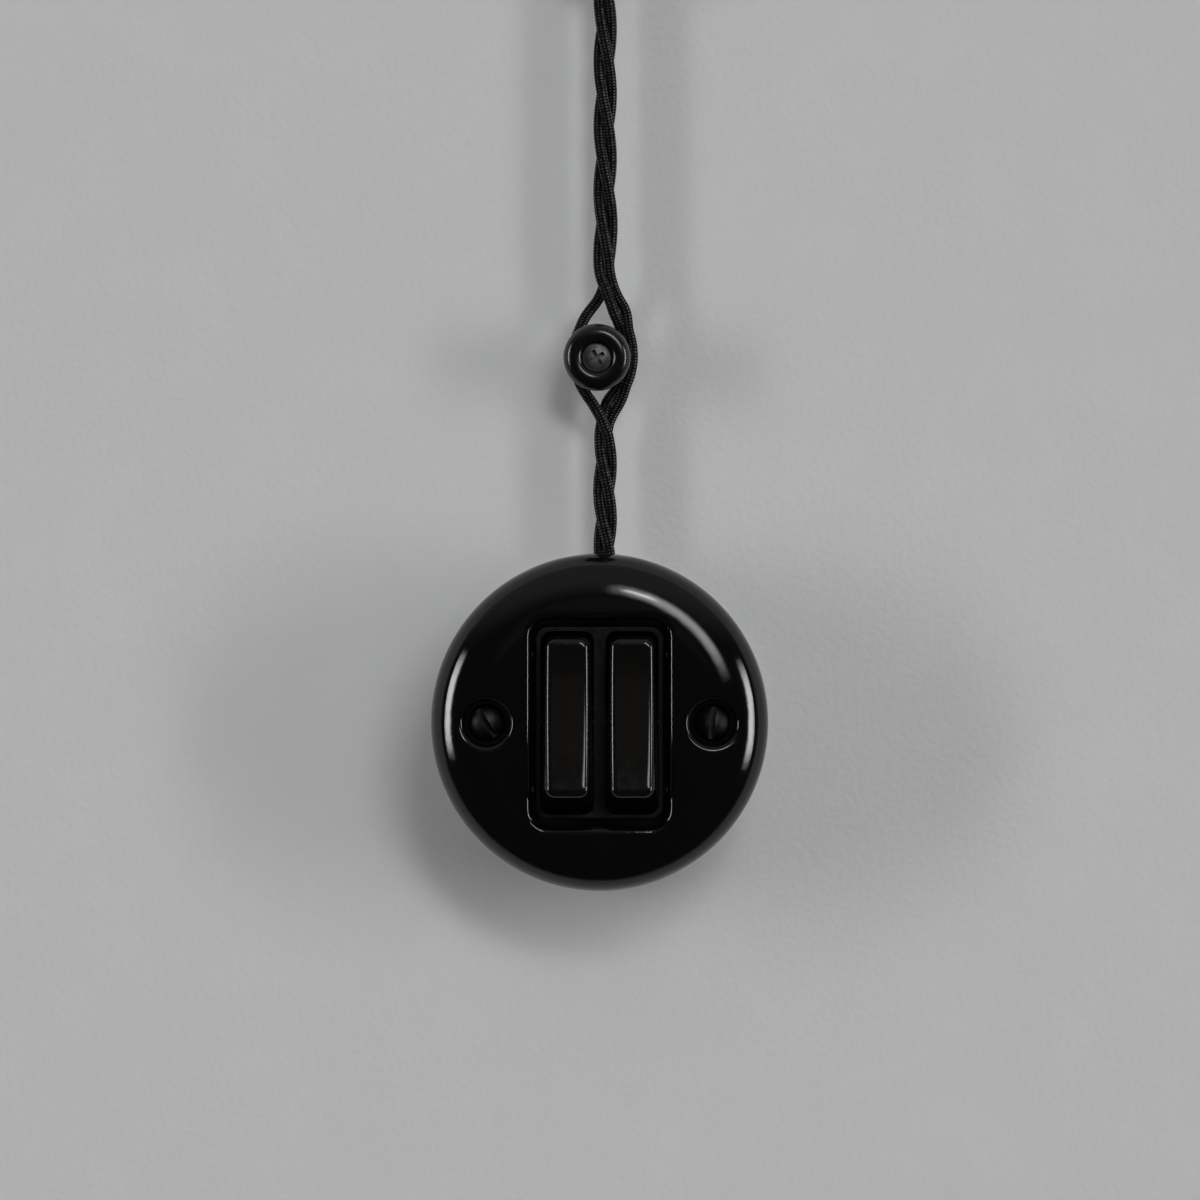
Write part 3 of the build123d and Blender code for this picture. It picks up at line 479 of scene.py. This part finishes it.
def textile():
    """Black braid with painted highlights: lighter flecks on the crowns of one family of yarns, brightest
    along painted highlight lines.
    """
    look = Look("black_textile", IOR=1.46, Specular_IOR_Level=0.05)
    look.set(Sheen_Weight=0.02, Sheen_Roughness=0.4, Sheen_Tint=SHEEN_TINT)
    a, b, left, high = (
        look.node("ShaderNodeAttribute", attribute_name=key).outputs["Fac"]
        for key in ("yarn_a", "yarn_b", "yarn_left", "yarn_high")
    )
    across = look.plus(look.times(a, left), look.times(b, look.math("SUBTRACT", 1.0, left)))
    wander = look.times(look.noise(scale=2500.0), FIBRE_WANDER)
    fibre = look.math("SINE", look.plus(look.times(across, FIBRE_TURN), wander))
    fibre = look.times(look.plus(fibre, 1.0), 0.5)
    # Painted highlight: a lighter colour on the yarn crowns, mostly on one family
    light = look.times(look.ramp(high, 0.62, 0.98), look.plus(look.times(left, PAINTED_FLECK_LEFT), PAINTED_FLECK_BOTH))
    patches = look.ramp(look.noise(scale=900.0, detail=3.0, rough=0.7), 0.35, 0.65, 0.25, 1.0)
    light = look.times(light, patches)
    # Painted highlight lines: the flecks are brighter every few yarns
    highlight_line = look.math("COSINE", look.times(look.plus(a, b), math.pi / YARNS_PER_HIGHLIGHT_LINE))
    light = look.times(light, look.plus(look.times(highlight_line, HIGHLIGHT_LINE_SWING), HIGHLIGHT_LINE_MEAN))
    look.set(Base_Color=look.mix(light, YARN_BLACK, YARN_PAINTED_HIGHLIGHT))
    look.set(Roughness=look.ramp(fibre, 0.0, 1.0, 0.42, 0.62))
    look.set(Normal=look.bump(fibre, distance=0.00002, strength=0.8))
    return look.material


def make_wall():
    """The pale wall, which shows from the front only and casts no shadow."""
    mesh = bpy.data.meshes.new("stage_wall")
    corners = [(x, WALL_Y, z) for x, z in ((-1, -1), (1, -1), (1, 1), (-1, 1))]
    mesh.from_pydata([(x * WALL_HALF, y, z * WALL_HALF) for x, y, z in corners], [], [(0, 1, 2, 3)])
    wall = link(bpy.data.objects.new("stage_wall", mesh))
    look = Look("stage_wall", Roughness=0.95)
    look.set(Base_Color=look.mix(look.noise(scale=40.0, detail=5.0, rough=0.6), WALL_DARK, WALL_LIGHT))
    look.set(Normal=look.bump(look.noise(scale=500.0, detail=4.0, rough=0.6), distance=0.0004, strength=0.35))
    ray = look.node("ShaderNodeLightPath").outputs
    seen = look.math("MAXIMUM", ray["Is Glossy Ray"], ray["Is Transmission Ray"])
    seen = look.math("MAXIMUM", ray["Is Camera Ray"], seen)
    look.set(Emission_Color=WHITE, Emission_Strength=look.times(seen, WALL_LIFT))
    mixer = look.node("ShaderNodeMixShader")
    look.feed(mixer.inputs[0], look.math("MAXIMUM", look.geometry("Backfacing"), ray["Is Shadow Ray"]))
    look.feed(mixer.inputs[1], look.bsdf.outputs[0])
    look.feed(mixer.inputs[2], look.node("ShaderNodeBsdfTransparent").outputs[0])
    look.feed(look.tree.nodes["Material Output"].inputs["Surface"], mixer.outputs[0])
    mesh.materials.append(look.material)


def make_room():
    """A dark studio with feathered lights at the upper right and at both sides."""
    world = bpy.data.worlds.new("studio_room")
    world.use_nodes = True
    room = Graph(world.node_tree)
    x, y, z = room.axes(room.node("ShaderNodeTexCoord").outputs["Generated"])
    ahead = room.times(y, -1.0)
    across = room.math("SQRT", room.math("SUBTRACT", OVER_ONE, room.times(y, y)))
    parts = [
        (room.math("SUBTRACT", 1.0, room.ramp(ahead, *SIDE_FADE)), SIDE_COLOUR),
        (room.times(room.band(z, WARM_LOW, WARM_HIGH), room.band(x, WARM_LEFT, WARM_RIGHT)), WARM_COLOUR),
        (room.ramp(z, *CEILING_RISE), CEILING_COLOUR),
    ]
    for turn, rise, fall, ends, colour in SOFT_LIGHTS:
        angle = math.radians(turn)
        along = room.plus(room.times(x, math.cos(angle)), room.times(z, math.sin(angle)))
        ring = room.band(ahead, rise, fall)
        parts.append((room.times(ring, room.ramp(room.math("DIVIDE", along, across), *ends)), colour))
    total = FRONT_COLOUR
    for share, colour in parts:
        total = room.mix(share, total, colour, "ADD")
    room.feed(world.node_tree.nodes["Background"].inputs["Color"], total)
    scene.world = world


def make_rear_lamp():
    data = bpy.data.lights.new("rear", "AREA")
    data.shape = "RECTANGLE"
    data.size = REAR_SIZE
    data.size_y = REAR_SIZE
    data.energy = REAR_POWER
    lamp = link(bpy.data.objects.new("rear", data))
    level = math.cos(REAR_ELEVATION)
    direction = Vector(
        (math.sin(REAR_AZIMUTH) * level, -math.cos(REAR_AZIMUTH) * level, math.sin(REAR_ELEVATION))
    )
    lamp.location = REAR_TARGET + direction * REAR_DISTANCE
    lamp.rotation_mode = "QUATERNION"
    lamp.rotation_quaternion = direction.to_track_quat("Z", "Y")


make_camera()

# Cord
strand_pieces = {}
for key, strand in STRANDS.items():
    piece, path = braided_strand("braided_strand_" + key, strand)
    strand_pieces[key] = piece
    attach(piece, "switch")
    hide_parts("strand_" + key, "cord_lower", "cord_upper")

# Looks
porcelain = glaze("black_glaze", rough=(0.05, 0.10))
knob_glaze = glaze("satin_glaze", rough=(0.20, 0.26), ripple=0.2, ior=1.55)
rocker_look = gloss_plastic()
frame_look = matte_plastic(
    "frame_moulding", (0.0022, 0.0020, 0.0018), (0.0034, 0.0031, 0.0028),
    rough=(0.28, 0.40), grain=2400.0, bump=0.2,
)
housing_look = matte_plastic("housing_moulding", (0.030, 0.028, 0.026), (0.045, 0.042, 0.039))
pale_look = matte_plastic("pale_moulding", (0.62, 0.60, 0.55), (0.72, 0.70, 0.66))
lead_look = matte_plastic("lead_sleeve", (0.012, 0.012, 0.012), (0.020, 0.020, 0.020), rough=(0.35, 0.5))
steel_look = metal("bright_steel", (0.42, 0.42, 0.43), (0.60, 0.60, 0.60))
strap_look = metal("zinc_strap", (0.46, 0.46, 0.44), (0.64, 0.63, 0.60), rough=(0.35, 0.55))
brass_look = metal("brass", (0.52, 0.36, 0.13), (0.70, 0.52, 0.22))
copper_look = metal("contact_copper", (0.62, 0.33, 0.20), (0.78, 0.45, 0.29))
cover_screw_look = turned_metal(
    "burnished_screw", COVER_SCREW_X, COVER_SCREW_Z, mirrored=True,
    dark=(0.018, 0.018, 0.0185), light=(0.056, 0.055, 0.054), rough=(0.42, 0.58),
)
knob_screw_look = turned_metal(
    "knob_screw_steel", KNOB_X, KNOB_Z, mirrored=False,
    dark=(0.11, 0.11, 0.11), light=(0.27, 0.27, 0.265), rough=(0.46, 0.62),
)
LOOKS = {
    "cover": porcelain, "base": porcelain, "end_bush": porcelain, "knob_insulator": knob_glaze,
    "rocker_up": rocker_look, "rocker_down": rocker_look, "rocker_frame": frame_look, "housing": housing_look,
    "plunger_up": pale_look, "plunger_down": pale_look,
    "plunger_spring_up": steel_look, "plunger_spring_down": steel_look,
    "support_strap": strap_look, "strap_screws": steel_look, "housing_rivets": steel_look,
    "base_inserts": brass_look, "terminal_blocks": brass_look, "terminal_screws": steel_look,
    "plate_line": brass_look, "plate_link": brass_look, "plate_up": brass_look, "plate_down": brass_look,
    "contact_up": copper_look, "contact_down": copper_look,
    "lead_up": lead_look, "lead_line": lead_look, "lead_down": lead_look,
    "cover_screws": cover_screw_look, "knob_screw": knob_screw_look,
}
for name, look in LOOKS.items():
    nodes[name].data.materials.clear()
    nodes[name].data.materials.append(look)
cloth = textile()
for piece in strand_pieces.values():
    piece.data.materials.append(cloth)

# Stage
make_wall()
make_room()
make_rear_lamp()
